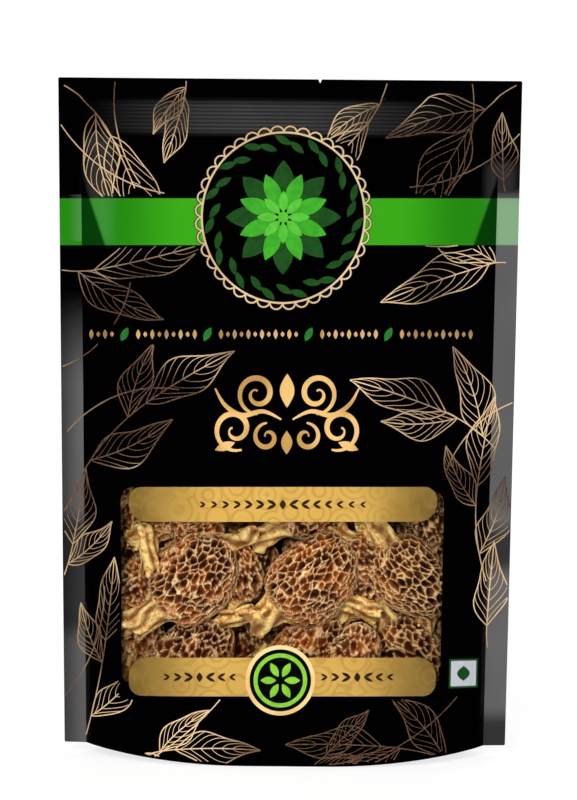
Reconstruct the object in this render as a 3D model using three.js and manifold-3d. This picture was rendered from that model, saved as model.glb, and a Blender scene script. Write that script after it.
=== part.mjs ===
// A stand-up pouch of black film, zipped and sealed, with a clear window over the dried morels that it holds.
// Millimetres. +Z is up, the front faces -Y, and the origin is on the ground under the middle of the pouch.
import * as THREE from "three";
import { mergeVertices } from "three/addons/utils/BufferGeometryUtils.js";
import Module from "manifold-3d";

const wasm = await Module();
wasm.setup();

// The flat pouch, as it leaves the bag machine
const POUCH_WIDTH = 160;
const POUCH_HEIGHT = 240;
const SIDE_SEAL = 7.6;
const FILM = 0.6;
const GAP = 0.3; // between films and labels that lie on each other
const SEAM = GAP / 2;

// The filled shape
const BELLY_DEPTH = 19; // from the middle plane to the inside of the front, at its fullest
const BELLY_TOP = 50; // the belly keeps its full depth up to here
const BELLY_END = 216; // and closes here, just under the zip
const FULLNESS = 4; // how square the cross-section is from seal to seal
const FOOT_NARROWING = 3.4; // what the filled pouch loses in half its width at the foot
const CORNER_LIFT = 3; // how far the ends of the bottom edge rise off the ground
const LIFT_END = 60; // and up to where the film is lifted with them
const FLAT_FOOT = 16; // half the length of bottom edge that stays on the ground

const ZIP = { low: 221.5, high: 232.5, end: 64, tape: 0.7, rib: 0.5, pitch: 2.2 };
const ZIP_LIFT = { rise: 2.3, above: 2, below: 80, fullness: 10 }; // how the films stand off round the zip
const GUSSET = { film: 0.5, foot: 5, rise: 32, sag: 3.5, steepest: 0.4, skirtFoot: 0.6 };
const NOTCH = { u: 10.3, width: 2.6, depth: 1.4 }; // where the pouch is torn open

// The window and the labels are laid out on the flat front: u from the middle line, v from the bottom edge
const WINDOW = { u: -1.6, v: 61.3, width: 115.2, height: 72.2, radius: 5 };
const PANE = { film: 0.4, margin: 3 };
const LABEL = { film: 0.3 };
const TOP_BANNER = { u: -1.4, v: 93.1, width: 109.8, height: 12, top: 4.5, bottom: 6.5 };
const LOW_BANNER = { u: -1.1, v: 32.1, width: 111, height: 13.8, top: 6.8, bottom: 4.5 };
const ROUND_SEAL = { u: -1.8, v: 31, radius: 12.4, film: 0.4 };
const PRINT = { bow: 0.25, tilt: 0.0084 }; // its rows sink towards the sides of the belly, and lean a little
const CORNER_SEGMENTS = 5;
const EDGE_POINTS = 64; // round the outline of a banner
const DISC_SEGMENTS = 14; // in half a turn

const BLACK_FILM = { color: 0x0b0b0c, roughness: 0.25, metalness: 0 };
const CLEAR_FILM = { color: 0xe8eef0, roughness: 0.08, metalness: 0, transparent: true, opacity: 0.25 };
const GOLD_LABEL = { color: 0xc9a13f, roughness: 0.4, metalness: 0.6 };
const SEAL_FOIL = { color: 0xe2bb6a, roughness: 0.4, metalness: 0.5 };
const ZIP_PLASTIC = { color: 0x26282a, roughness: 0.35, metalness: 0 };
const MOREL_SKIN = { color: 0x9a6f45, roughness: 0.85, metalness: 0 };

// How each morel lies: x, y, z of its middle, how far its tip is turned up from +X, and its length, width and
// thickness. The first nine lie behind the window and the labels on it.
const NEAR_MORELS = [
  { x: -35.5, y: -7, z: 60.5, turn: 41, length: 45, width: 28, thick: 16 },
  { x: 5.5, y: -8, z: 61.5, turn: 41, length: 46, width: 29, thick: 17 },
  { x: 41, y: -5, z: 68, turn: -52, length: 43, width: 26, thick: 14 },
  { x: -35.5, y: -2, z: 32.5, turn: 41, length: 43, width: 26, thick: 15 },
  { x: 5.5, y: -2, z: 33.5, turn: 41, length: 44, width: 27, thick: 16 },
  { x: 41, y: -1, z: 40, turn: -52, length: 40, width: 24, thick: 13 },
  { x: -35.5, y: -1.5, z: 88.5, turn: 41, length: 43, width: 26, thick: 14 },
  { x: 5.5, y: -1.5, z: 89.5, turn: 41, length: 44, width: 27, thick: 15 },
  { x: 43, y: 0, z: 97, turn: -52, length: 40, width: 24, thick: 12 },
];
// The rest of the filling: at the sides, between and behind the first nine, and on top of them
const FAR_MORELS = [
  { x: -56, y: 5, z: 70, turn: 75, length: 24, width: 14, thick: 7 },
  { x: -58, y: -2, z: 97, turn: 80, length: 28, width: 17, thick: 8 },
  { x: -14, y: 6, z: 58, turn: 60, length: 36, width: 21, thick: 12 },
  { x: 24, y: 7, z: 61, turn: -50, length: 36, width: 21, thick: 11 },
  { x: -15, y: 6.5, z: 84, turn: 30, length: 30, width: 16, thick: 10 },
  { x: -56, y: 0.5, z: 45, turn: 100, length: 28, width: 16, thick: 8 },
  { x: 22, y: -13.5, z: 36, turn: 60, length: 30, width: 18, thick: 9 },
  { x: -15, y: 11.5, z: 35, turn: 70, length: 32, width: 18, thick: 10 },
  { x: 22, y: 7.5, z: 88, turn: -40, length: 30, width: 18, thick: 9 },
  { x: 55, y: 5, z: 50, turn: 80, length: 26, width: 15, thick: 7 },
  { x: -30, y: 12, z: 64, turn: 80, length: 34, width: 20, thick: 10 },
  { x: 6, y: 12.5, z: 62, turn: 80, length: 34, width: 20, thick: 10 },
  { x: -30, y: 0, z: 124, turn: 10, length: 42, width: 24, thick: 15 },
  { x: 14, y: 0, z: 123, turn: -8, length: 42, width: 24, thick: 15 },
  { x: 45, y: 0, z: 139, turn: 15, length: 32, width: 18, thick: 9 },
];

// A profile from the tip down to the cut end of the stem: share of the length, share of half the width
const CAP_PROFILE = [
  [0.0, 0.0],
  [0.02, 0.3],
  [0.08, 0.58],
  [0.18, 0.82],
  [0.32, 0.97],
  [0.45, 1.0],
  [0.58, 0.92],
  [0.68, 0.76],
  [0.74, 0.55],
];
const STEM_PROFILE = [
  [0.76, 0.4],
  [0.86, 0.34],
  [0.95, 0.36],
  [1.0, 0.42],
];
const STEM_HOLLOW = { lip: 0.26, depth: 0.12, floor: 0.14 }; // the stem's hollow end, in the same shares
const PIT_DEPTH = 1.9;
// Rows and columns of the net on a cap. The columns are a multiple of 3, so that the pits close up round it.
const NEAR_NET = { rows: 11, columns: 15 };
const FAR_NET = { rows: 9, columns: 12 };

const radians = (degrees) => (degrees * Math.PI) / 180;
const clamp01 = (t) => Math.min(1, Math.max(0, t));
const smooth = (from, to, x) => {
  const t = clamp01((x - from) / (to - from));
  return t * t * (3 - 2 * t);
};
const steps = (from, to, count) => {
  return Array.from({ length: count + 1 }, (_, i) => from + ((to - from) * i) / count);
};

// The same draws each time from one seed
function seeded(seed) {
  let state = seed >>> 0;
  return () => {
    state = (state + 0x6d2b79f5) >>> 0;
    let t = Math.imul(state ^ (state >>> 15), 1 | state);
    t = (t + Math.imul(t ^ (t >>> 7), 61 | t)) ^ t;
    return ((t ^ (t >>> 14)) >>> 0) / 4294967296;
  };
}

// The pouch's shape

const FLAT_HALF = POUCH_WIDTH / 2 - SIDE_SEAL;

function bellyDepth(z) {
  const t = clamp01((z - BELLY_TOP) / (BELLY_END - BELLY_TOP));
  return BELLY_DEPTH * Math.cos((Math.PI / 2) * t) ** 2;
}

// Half the width between the side seals at height z
const halfChord = (z) => FLAT_HALF - FOOT_NARROWING * (1 - z / POUCH_HEIGHT);

// The x of a point of the flat panel
function acrossAt(u, v) {
  const flat = Math.abs(u);
  const half = halfChord(v);
  return Math.sign(u) * (flat < FLAT_HALF ? (flat * half) / FLAT_HALF : half + flat - FLAT_HALF);
}

// From the middle plane to the inside face of a panel
function innerDepth(u, v) {
  const t = Math.min(1, Math.abs(u) / FLAT_HALF);
  const over = smooth(ZIP.high + ZIP_LIFT.above, ZIP.high, v);
  const zip = ZIP_LIFT.rise * over * smooth(ZIP.low - ZIP_LIFT.below, ZIP.low, v);
  return SEAM + bellyDepth(v) * (1 - t ** FULLNESS) + zip * (1 - t ** ZIP_LIFT.fullness);
}

// How far the ends of the bottom edge, and the film over them, are lifted
function cornerLift(u, v) {
  return CORNER_LIFT * smooth(FLAT_FOOT, POUCH_WIDTH / 2, Math.abs(u)) * (1 - smooth(0, LIFT_END, v));
}

// Where a point of the flat panel goes: out is its height over the panel's inside, and side is 1 at the front
function onPanel(u, v, out, side) {
  return new THREE.Vector3(acrossAt(u, v), -side * (innerDepth(u, v) + out), v + cornerLift(u, v));
}

// Columns over the flat panel between its seals, closer together towards the seals, where it curves most
const CROWDING = 1.25;
const FILM_COLUMNS = steps(-1, 1, 18).map((t) => (FLAT_HALF * Math.sin(CROWDING * t)) / Math.sin(CROWDING));
const ZIP_ROWS = [ZIP.low - 1.5, ZIP.low, ZIP.high, ZIP.high + 1, ZIP.high + ZIP_LIFT.above, POUCH_HEIGHT];
const FRONT_ROWS = [...steps(0, 120, 12), ...steps(132, 216, 7), ...ZIP_ROWS];
const BACK_ROWS = [...steps(0, 120, 8), ...steps(140, 212, 4), ...ZIP_ROWS];

// The stretch of a rising list that covers everything from low to high
function covering(list, low, high) {
  return list.filter((value, i) => (list[i + 1] ?? value) > low && (list[i - 1] ?? value) < high);
}

// Geometry and solids

// A closed geometry from a grid of points on its outer face and the same grid on its inner face
function closedSheet(columns, rows, outer, inner) {
  const points = [];
  for (const place of [outer, inner]) {
    for (const v of rows) for (const u of columns) points.push(place(u, v));
  }
  const across = columns.length;
  const layer = across * rows.length;
  const index = [];
  const quad = (a, b, c, d) => index.push(a, b, c, a, c, d);
  for (let j = 0; j + 1 < rows.length; j++) {
    for (let i = 0; i + 1 < across; i++) {
      const a = j * across + i;
      quad(a, a + 1, a + across + 1, a + across);
      quad(layer + a, layer + a + across, layer + a + across + 1, layer + a + 1);
    }
    const left = j * across;
    const right = left + across - 1;
    quad(left, left + across, layer + left + across, layer + left);
    quad(right, layer + right, layer + right + across, right + across);
  }
  const top = (rows.length - 1) * across;
  for (let i = 0; i + 1 < across; i++) {
    quad(i, layer + i, layer + i + 1, i + 1);
    quad(top + i, top + i + 1, layer + top + i + 1, layer + top + i);
  }
  return facingOut(new THREE.BufferGeometry().setFromPoints(points).setIndex(index));
}

// The same geometry with its faces turned round if they point inwards
function facingOut(geometry) {
  const p = geometry.attributes.position;
  const index = Array.from(geometry.index.array);
  const [a, b, c] = [new THREE.Vector3(), new THREE.Vector3(), new THREE.Vector3()];
  let volume = 0;
  for (let i = 0; i < index.length; i += 3) {
    a.fromBufferAttribute(p, index[i]);
    b.fromBufferAttribute(p, index[i + 1]);
    c.fromBufferAttribute(p, index[i + 2]);
    volume += a.dot(b.cross(c));
  }
  if (volume < 0) {
    for (let i = 0; i < index.length; i += 3) [index[i], index[i + 1]] = [index[i + 1], index[i]];
  }
  return geometry.setIndex(index);
}

function toSolid(geometry) {
  const bare = geometry.clone();
  bare.deleteAttribute("normal");
  bare.deleteAttribute("uv");
  const merged = mergeVertices(bare, 1e-4);
  return new wasm.Manifold(
    new wasm.Mesh({
      numProp: 3,
      vertProperties: new Float32Array(merged.attributes.position.array),
      triVerts: new Uint32Array(merged.index.array),
    }),
  );
}

function toGeometry(solid) {
  const mesh = solid.getMesh();
  const geometry = new THREE.BufferGeometry();
  geometry.setAttribute("position", new THREE.BufferAttribute(mesh.vertProperties, 3));
  return geometry.setIndex(new THREE.BufferAttribute(mesh.triVerts, 1));
}

// A straight cutter along Y, from an outline in x and z
function cutter(shape, curveSegments) {
  const length = 120;
  const options = { depth: length, bevelEnabled: false, curveSegments };
  return toSolid(new THREE.ExtrudeGeometry(shape, options).translate(0, 0, -length / 2).rotateX(Math.PI / 2));
}

// A rectangle in x and z with its own corner radii at the top and the bottom
function roundedRectangle({ u, v, width, height }, top, bottom) {
  const [left, right, low, high] = [u - width / 2, u + width / 2, v - height / 2, v + height / 2];
  const shape = new THREE.Shape();
  shape.moveTo(left + bottom, low);
  shape.lineTo(right - bottom, low);
  shape.absarc(right - bottom, low + bottom, bottom, -Math.PI / 2, 0);
  shape.lineTo(right, high - top);
  shape.absarc(right - top, high - top, top, 0, Math.PI / 2);
  shape.lineTo(left + top, high);
  shape.absarc(left + top, high - top, top, Math.PI / 2, Math.PI);
  shape.lineTo(left, low + bottom);
  shape.absarc(left + bottom, low + bottom, bottom, Math.PI, 1.5 * Math.PI);
  return shape;
}

function disc({ u, v, radius }) {
  const shape = new THREE.Shape();
  shape.absarc(u, v, radius, 0, 2 * Math.PI);
  return shape;
}

// The same outline moved from the flat front to where the belly narrows it
function narrowed(outline) {
  const share = halfChord(outline.v) / FLAT_HALF;
  return { ...outline, u: outline.u * share, width: (outline.width ?? 0) * share };
}

// The films

function panel(side, rows) {
  const half = POUCH_WIDTH / 2;
  const columns = [-half, ...FILM_COLUMNS, half];
  const outer = (u, v) => onPanel(u, v, FILM, side);
  const inner = (u, v) => onPanel(u, v, 0, side);
  const notch = new THREE.Shape([
    new THREE.Vector2(NOTCH.u - NOTCH.width / 2, POUCH_HEIGHT + 1),
    new THREE.Vector2(NOTCH.u + NOTCH.width / 2, POUCH_HEIGHT + 1),
    new THREE.Vector2(NOTCH.u, POUCH_HEIGHT - NOTCH.depth),
  ]);
  return toSolid(closedSheet(columns, rows, outer, inner)).subtract(cutter(notch, 1));
}

function frontPanel() {
  const opening = cutter(roundedRectangle(narrowed(WINDOW), WINDOW.radius, WINDOW.radius), CORNER_SEGMENTS);
  return toGeometry(panel(1, FRONT_ROWS).subtract(opening));
}

function backPanel() {
  return toGeometry(panel(-1, BACK_ROWS));
}

// A patch over the front at a height over its inside face, cut to an outline. It shares the front's columns
// and rows, so that the two lie parallel.
function patch(shape, { u, v, width, height }, out, film, curveSegments) {
  const margin = 2;
  const columns = covering(FILM_COLUMNS, u - width / 2 - margin, u + width / 2 + margin);
  const rows = covering(FRONT_ROWS, v - height / 2 - margin, v + height / 2 + margin);
  const outer = (a, b) => onPanel(a, b, out + film, 1);
  const inner = (a, b) => onPanel(a, b, out, 1);
  const sheet = toSolid(closedSheet(columns, rows, outer, inner));
  return toGeometry(sheet.intersect(cutter(shape, curveSegments)));
}

function windowPane() {
  const spread = 2 * PANE.margin;
  const pane = { ...WINDOW, width: WINDOW.width + spread, height: WINDOW.height + spread };
  const radius = WINDOW.radius + PANE.margin;
  const outline = roundedRectangle(narrowed(pane), radius, radius);
  return patch(outline, pane, -(GAP + PANE.film), PANE.film, CORNER_SEGMENTS);
}

// The same outline with its rows bowed and tilted as the print is
function levelled(outline) {
  const points = outline.getSpacedPoints(EDGE_POINTS).map(({ x, y }) => {
    const u = (x * FLAT_HALF) / halfChord(y);
    const bow = PRINT.bow * (innerDepth(0, y) - innerDepth(u, y));
    return new THREE.Vector2(x, y - bow + PRINT.tilt * u);
  });
  return new THREE.Shape(points);
}

function banner(label) {
  const outline = levelled(roundedRectangle(narrowed(label), label.top, label.bottom));
  return patch(outline, label, FILM + GAP, LABEL.film, CORNER_SEGMENTS);
}

function roundSeal() {
  const width = 2 * ROUND_SEAL.radius;
  const out = FILM + GAP + LABEL.film + GAP;
  const outline = disc(narrowed(ROUND_SEAL));
  return patch(outline, { ...ROUND_SEAL, width, height: width }, out, ROUND_SEAL.film, DISC_SEGMENTS);
}

// Half of the press-to-close zip: a tape with ribs across its outer face, which show through the film
function zipHalf(side) {
  const columns = steps(-ZIP.end, ZIP.end, 2);
  const rows = [ZIP.low + 0.6, ...steps(ZIP.low + 1.2, ZIP.high - 1.2, 8), ZIP.high - 0.6];
  const ribbed = (z) => (Math.round((z - ZIP.low - 1.2) / (ZIP.pitch / 2)) % 2 === 0 ? ZIP.rib : 0);
  const face = (y) => (x, z) => new THREE.Vector3(x, -side * y(z), z);
  return closedSheet(
    columns,
    rows,
    face((z) => SEAM + ZIP.tape + ribbed(z)),
    face(() => SEAM),
  );
}

// The folded bottom film: up the inside of the front, over the hollow under the pouch, and down the back
function bottomGusset() {
  const columns = FILM_COLUMNS.slice(1, -1);
  const skirt = [0, 0.35, 0.75];
  const boat = [-1, -0.7, -0.35, 0, 0.35, 0.7, 1];
  const section = (u) => {
    const top = GUSSET.foot + GUSSET.rise * (Math.abs(u) / FLAT_HALF) ** 3;
    const foot = GUSSET.skirtFoot + cornerLift(u, 0);
    const reach = (z) => innerDepth(u, z) - GAP;
    const up = skirt.map((t) => [-reach(foot + (top - foot) * t), foot + (top - foot) * t]);
    const sag = Math.min(GUSSET.sag, reach(top) * GUSSET.steepest);
    const over = boat.map((t) => [t * reach(top), top - sag * (1 - t * t)]);
    const down = [...up].reverse().map(([y, z]) => [-y, z]);
    return [...up, ...over, ...down];
  };
  const place = (thick) => (u, k) => {
    const points = section(u);
    const last = points.length - 1;
    const [before, at, after] = [points[Math.max(0, k - 1)], points[k], points[Math.min(last, k + 1)]];
    const run = new THREE.Vector2(after[0] - before[0], after[1] - before[1]).normalize();
    return new THREE.Vector3(acrossAt(u, at[1]), at[0] + run.y * thick, at[1] - run.x * thick);
  };
  const count = 2 * skirt.length + boat.length;
  return closedSheet(columns, steps(0, count - 1, count - 1), place(0), place(GUSSET.film));
}

// The morels

// One dried morel lying along +X from the cut end of its stem to its tip, centred on its length. The cap is a
// net of ridges round sunken pits: on a lattice of triangles every third point is the floor of a pit.
function morelGeometry({ length, width, thick }, net, seed) {
  const draw = seeded(seed);
  const capCurve = new THREE.SplineCurve(CAP_PROFILE.map(([s, r]) => new THREE.Vector2(s, r)));
  const points = [new THREE.Vector3(length / 2, 0, 0)];
  const ring = (s, r, turn, shape) => {
    for (let i = 0; i < net.columns; i++) {
      const angle = (2 * Math.PI * (i + turn)) / net.columns;
      const reach = (r * width) / 2 + shape(i);
      const along = length * (0.5 - s);
      const deep = reach * Math.cos(angle) * (thick / width);
      points.push(new THREE.Vector3(along, deep, reach * Math.sin(angle)));
    }
  };
  for (let j = 1; j <= net.rows; j++) {
    const { x: s, y: r } = capCurve.getPointAt(j / net.rows);
    const fade = smooth(0, 0.4, r) * (j === net.rows ? 0 : 1);
    const pit = (i) => ((((i - j) % 3) + 3) % 3 === 0 ? -PIT_DEPTH : 0.5 * (draw() - 0.5));
    ring(s, r, j / 2, (i) => fade * pit(i));
  }
  for (const [s, r] of STEM_PROFILE) {
    const fold = width * 0.02;
    ring(s, r, net.rows / 2, (i) => fold * Math.cos((i * 6 * Math.PI) / net.columns));
  }
  ring(1, STEM_HOLLOW.lip, net.rows / 2, () => 0);
  ring(1 - STEM_HOLLOW.depth, STEM_HOLLOW.floor, net.rows / 2, () => 0);
  points.push(new THREE.Vector3(length * (STEM_HOLLOW.depth - 0.5), 0, 0));

  const index = [];
  const rings = (points.length - 2) / net.columns;
  const at = (j, i) => 1 + j * net.columns + (i % net.columns);
  for (let i = 0; i < net.columns; i++) {
    index.push(0, at(0, i), at(0, i + 1));
    for (let j = 0; j + 1 < rings; j++) {
      index.push(at(j, i), at(j + 1, i), at(j, i + 1), at(j, i + 1), at(j + 1, i), at(j + 1, i + 1));
    }
    index.push(points.length - 1, at(rings - 1, i + 1), at(rings - 1, i));
  }
  return facingOut(new THREE.BufferGeometry().setFromPoints(points).setIndex(index));
}

// Assembly

const pouch = new THREE.Group();

function add(name, geometry, finish) {
  const mesh = new THREE.Mesh(geometry, new THREE.MeshStandardMaterial(finish));
  mesh.name = name;
  pouch.add(mesh);
  return mesh;
}

add("front_panel", frontPanel(), BLACK_FILM);
add("back_panel", backPanel(), BLACK_FILM);
add("bottom_gusset", bottomGusset(), BLACK_FILM);
add("window_pane", windowPane(), CLEAR_FILM);
add("zip_front", zipHalf(1), ZIP_PLASTIC);
add("zip_back", zipHalf(-1), ZIP_PLASTIC);
add("banner_top", banner(TOP_BANNER), GOLD_LABEL);
add("banner_low", banner(LOW_BANNER), GOLD_LABEL);
add("round_seal", roundSeal(), SEAL_FOIL);

[...NEAR_MORELS, ...FAR_MORELS].forEach((morel, i) => {
  const number = String(i + 1).padStart(2, "0");
  const net = i < NEAR_MORELS.length ? NEAR_NET : FAR_NET;
  const mesh = add(`morel_${number}`, morelGeometry(morel, net, i + 1), MOREL_SKIN);
  mesh.position.set(morel.x, morel.y, morel.z);
  mesh.rotation.y = -radians(morel.turn);
});

export default pouch;
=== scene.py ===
from math import acos, atan2, ceil, copysign, cos, hypot, pi, radians, sin

import bpy
from mathutils import Matrix, Vector, noise

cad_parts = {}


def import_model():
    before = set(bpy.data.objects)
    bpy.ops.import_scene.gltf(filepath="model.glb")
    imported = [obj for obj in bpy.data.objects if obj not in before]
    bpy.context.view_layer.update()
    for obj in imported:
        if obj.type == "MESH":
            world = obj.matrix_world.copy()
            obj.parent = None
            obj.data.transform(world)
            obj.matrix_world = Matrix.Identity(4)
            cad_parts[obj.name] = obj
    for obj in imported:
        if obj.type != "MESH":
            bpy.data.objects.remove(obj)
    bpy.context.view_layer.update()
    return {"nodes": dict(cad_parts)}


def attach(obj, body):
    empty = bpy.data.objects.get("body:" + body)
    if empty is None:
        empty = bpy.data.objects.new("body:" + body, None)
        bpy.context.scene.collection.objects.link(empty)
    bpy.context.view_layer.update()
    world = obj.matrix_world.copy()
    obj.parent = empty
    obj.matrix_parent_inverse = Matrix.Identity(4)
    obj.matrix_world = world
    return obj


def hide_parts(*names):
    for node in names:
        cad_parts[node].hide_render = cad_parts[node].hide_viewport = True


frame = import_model()
noise.seed_set(5)  # so that the caps have the same net of ridges in every run

MM = 0.001
BODY = "root"
FRONT, BACK = 1, -1

# The filled pouch: the same driving sizes as its solids
POUCH_WIDTH = 160
POUCH_HEIGHT = 240
SIDE_SEAL = 7.6
FILM_FACE = 0.6  # from the inside of a panel's solid to the outer face of its film
SEAL_FACE = 0.2  # the same where the two films are sealed flat
FILM = 0.3
SEAM = 0.15
BELLY_DEPTH = 19
BELLY_TOP = 50
BELLY_END = 216
FULLNESS = 4
FOOT_NARROWING = 3.4
CORNER_LIFT = 3
LIFT_END = 60
FLAT_FOOT = 16
ZIP_LOW = 221.5
ZIP_HIGH = 232.5
ZIP_RISE = 2.3
ZIP_BLEND = 80
ZIP_EDGE = 2
ZIP_SQUARENESS = 10
RIB_HEIGHT = 0.045
RIB_PITCH = 1.35
GUSSET_FOOT = 5
GUSSET_RISE = 32
GUSSET_SAG = 3.5
GUSSET_STEEPEST = 0.4
SKIRT_FOOT = 0.6
GUSSET_GAP = 0.3
FILM_CORNER = 0.6
NOTCH_U = 10.3
NOTCH_WIDTH = 2.6
NOTCH_DEPTH = 1.4
FLAT_HALF = POUCH_WIDTH / 2 - SIDE_SEAL
CLOSE = 1e-3

# What is printed or stuck on the front: middle u and v, width, height, then the top and bottom corner radii
WINDOW = (-1.6, 61.3, 115.2, 72.2, 5, 5)
PANE = (-1.6, 61.3, 121.2, 78.2, 8, 8)
TOP_BANNER = (-1.4, 93.1, 109.8, 12, 4.5, 6.5)
LOW_BANNER = (-1.1, 32.1, 111, 13.8, 6.8, 4.5)
MARK = (64.5, 33.0, 9.2, 9.1, 0.3, 0.3)
BAND_LOW = 182.1
BAND_HIGH = 198.7
BAND_DEPTH = 3.5  # of the pouch's face in the middle of the band
MEDALLION = Vector((-2.05, 192.0))
MEDALLION_RADIUS = 28.4
MEDALLION_TALL = 1.055
SCALLOPS = 40
WREATH_LEAVES = 30
SEAL_U = -1.8
SEAL_V = 31
SEAL_RADIUS = 12.6
ROW_V = 151.3
PRINT_TILT = 0.0084  # the print stands level in the photograph, while the pouch leans by this slope
PRINT_BOW = 0.25  # and its rows look level round the belly, from the height of the camera

# The photograph's view
IMAGE_HEIGHT = 800
PIXELS_PER_MM = 2.888
CAMERA_DISTANCE = 6.0
CAMERA_ELEVATION = 14.0
CAMERA_ROLL = 0.48
CAMERA_TARGET = Vector((0.0003, 0, 0.1261))
SENSOR = 36.0


# Small sums

def clamp01(t):
    return min(1.0, max(0.0, t))


def mix(a, b, t):
    return a + (b - a) * t


def smooth(start, end, x):
    t = clamp01((x - start) / (end - start))
    return t * t * (3 - 2 * t)


def steps(start, end, count):
    return [mix(start, end, i / count) for i in range(count + 1)]


def direction(degrees):
    return Vector((cos(radians(degrees)), sin(radians(degrees))))


def evenly(points, count):
    """Points of a smooth curve through these, at even steps of its length."""
    last = len(points) - 1
    fine = []
    for k in range(last):
        before, start = Vector(points[max(k - 1, 0)]), Vector(points[k])
        end, after = Vector(points[k + 1]), Vector(points[min(k + 2, last)])
        for t in steps(0, 1, 24)[:-1]:
            bend = (2 * before - 5 * start + 4 * end - after) * t * t
            bend += (3 * (start - end) + after - before) * t**3
            fine.append(start + ((end - before) * t + bend) / 2)
    fine.append(Vector(points[last]))
    reach = [0.0]
    for a, b in zip(fine, fine[1:]):
        reach.append(reach[-1] + (b - a).length)
    even = []
    k = 0
    for wanted in steps(0, reach[-1], count):
        while k + 2 < len(fine) and reach[k + 1] < wanted:
            k += 1
        span = reach[k + 1] - reach[k]
        even.append(fine[k].lerp(fine[k + 1], clamp01((wanted - reach[k]) / span) if span else 0))
    return even


# The shape of the filled pouch

def belly_depth(v):
    t = clamp01((v - BELLY_TOP) / (BELLY_END - BELLY_TOP))
    return BELLY_DEPTH * cos(pi / 2 * t) ** 2


def half_chord(v):
    return FLAT_HALF - FOOT_NARROWING * (1 - v / POUCH_HEIGHT)


def across_at(u, v):
    half = half_chord(v)
    flat = abs(u)
    return copysign(flat * half / FLAT_HALF if flat < FLAT_HALF else half + flat - FLAT_HALF, u)


def inner_depth(u, v):
    t = min(1.0, abs(u) / FLAT_HALF)
    over = smooth(ZIP_HIGH + ZIP_EDGE, ZIP_HIGH, v)
    lift = ZIP_RISE * over * smooth(ZIP_LOW - ZIP_BLEND, ZIP_LOW, v)
    return SEAM + belly_depth(v) * (1 - t**FULLNESS) + lift * (1 - t**ZIP_SQUARENESS)


def corner_lift(u, v):
    return CORNER_LIFT * smooth(FLAT_FOOT, POUCH_WIDTH / 2, abs(u)) * (1 - smooth(0, LIFT_END, v))


def film_face(u, v):
    """The outer face of the film over the inside of its solid, with the ribs of the zip showing through."""
    sealed = max(smooth(FLAT_HALF - 3, FLAT_HALF, abs(u)), smooth(ZIP_HIGH, ZIP_HIGH + ZIP_EDGE, v))
    zipped = smooth(ZIP_LOW - 1, ZIP_LOW, v) * smooth(ZIP_HIGH + 1, ZIP_HIGH, v) * smooth(70, 66, abs(u))
    rib = RIB_HEIGHT * cos(2 * pi * (v - ZIP_LOW) / RIB_PITCH)
    return mix(FILM_FACE, SEAL_FACE, sealed) + zipped * rib


def crumple(u, v, side):
    """Soft dents of a filled film: more beside the seals and low down, none on the seals themselves."""
    inside = smooth(FLAT_HALF, FLAT_HALF - 7, abs(u))
    inside *= smooth(BELLY_END, BELLY_END - 50, v) * smooth(0, 12, v)
    beside = mix(0.25, 1.0, smooth(35, 66, abs(u)))
    wide = noise.noise(Vector((u / 22, v / 34, 3.1 * side)))
    small = noise.noise(Vector((u / 9, v / 15, 7.7 * side)))
    return inside * beside * (0.55 * wide + 0.22 * small)


def levelled(u, v):
    """Where a point of the print lies on the film, bowed and tilted a little."""
    return v - PRINT_BOW * (inner_depth(0, v) - inner_depth(u, v)) + PRINT_TILT * u - corner_lift(u, v)


def on_pouch(u, v, height, side):
    """The point at a height over the film's outer face. The back is laid out as seen from behind."""
    depth = inner_depth(u, v) + film_face(u, v) + crumple(u, v, side) + height
    return Vector((side * across_at(u, v), -side * depth, v + corner_lift(u, v))) * MM


# Modelling

def deselect():
    bpy.ops.object.select_all(action="DESELECT")


def activate(obj):
    deselect()
    obj.select_set(True)
    bpy.context.view_layer.objects.active = obj


def editing(on):
    bpy.ops.object.mode_set(mode="EDIT" if on else "OBJECT")


def added(name):
    obj = bpy.context.object
    obj.name = name
    obj.data.name = name
    return obj


def apply_modifier(obj, kind, **settings):
    activate(obj)
    modifier = obj.modifiers.new(kind.lower(), kind)
    for key, value in settings.items():
        setattr(modifier, key, value)
    bpy.ops.object.modifier_apply(modifier=modifier.name)


def flat_grid(name, columns, rows):
    """A flat sheet of quads with its own columns and rows."""
    deselect()
    bpy.ops.mesh.primitive_grid_add(x_subdivisions=len(columns) - 1, y_subdivisions=len(rows) - 1, size=2)
    obj = added(name)
    for j, v in enumerate(rows):
        for i, u in enumerate(columns):
            obj.data.vertices[j * len(columns) + i].co = (u, v, 0)
    return obj


def rounded_prism(shape, depth):
    """A cutter over a rectangle with its own corner radii at the top and the bottom."""
    u, v, width, height, top, bottom = shape
    deselect()
    bpy.ops.mesh.primitive_plane_add(size=1, location=(u, v, -depth / 2))
    obj = added("cutter")
    editing(True)
    bpy.ops.transform.resize(value=(width, height, 1))
    editing(False)
    for side, radius in ((1, top), (-1, bottom)):
        for vertex in obj.data.vertices:
            at_end = vertex.co.y * side > height / 2 - CLOSE
            vertex.select = at_end and abs(vertex.co.x) > width / 2 - CLOSE
        select_only_vertices(obj)
        editing(True)
        bpy.ops.mesh.bevel(affect="VERTICES", offset=radius, segments=12)
        editing(False)
    raise_solid(obj, depth)
    return obj


def select_only_vertices(obj):
    """Selects the edges and faces whose corners are all marked selected, and no others."""
    chosen = {vertex.index for vertex in obj.data.vertices if vertex.select}
    for edge in obj.data.edges:
        edge.select = all(i in chosen for i in edge.vertices)
    for face in obj.data.polygons:
        face.select = all(i in chosen for i in face.vertices)


def face_outward(obj):
    activate(obj)
    editing(True)
    bpy.ops.mesh.select_all(action="SELECT")
    bpy.ops.mesh.normals_make_consistent(inside=False)
    editing(False)


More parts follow.
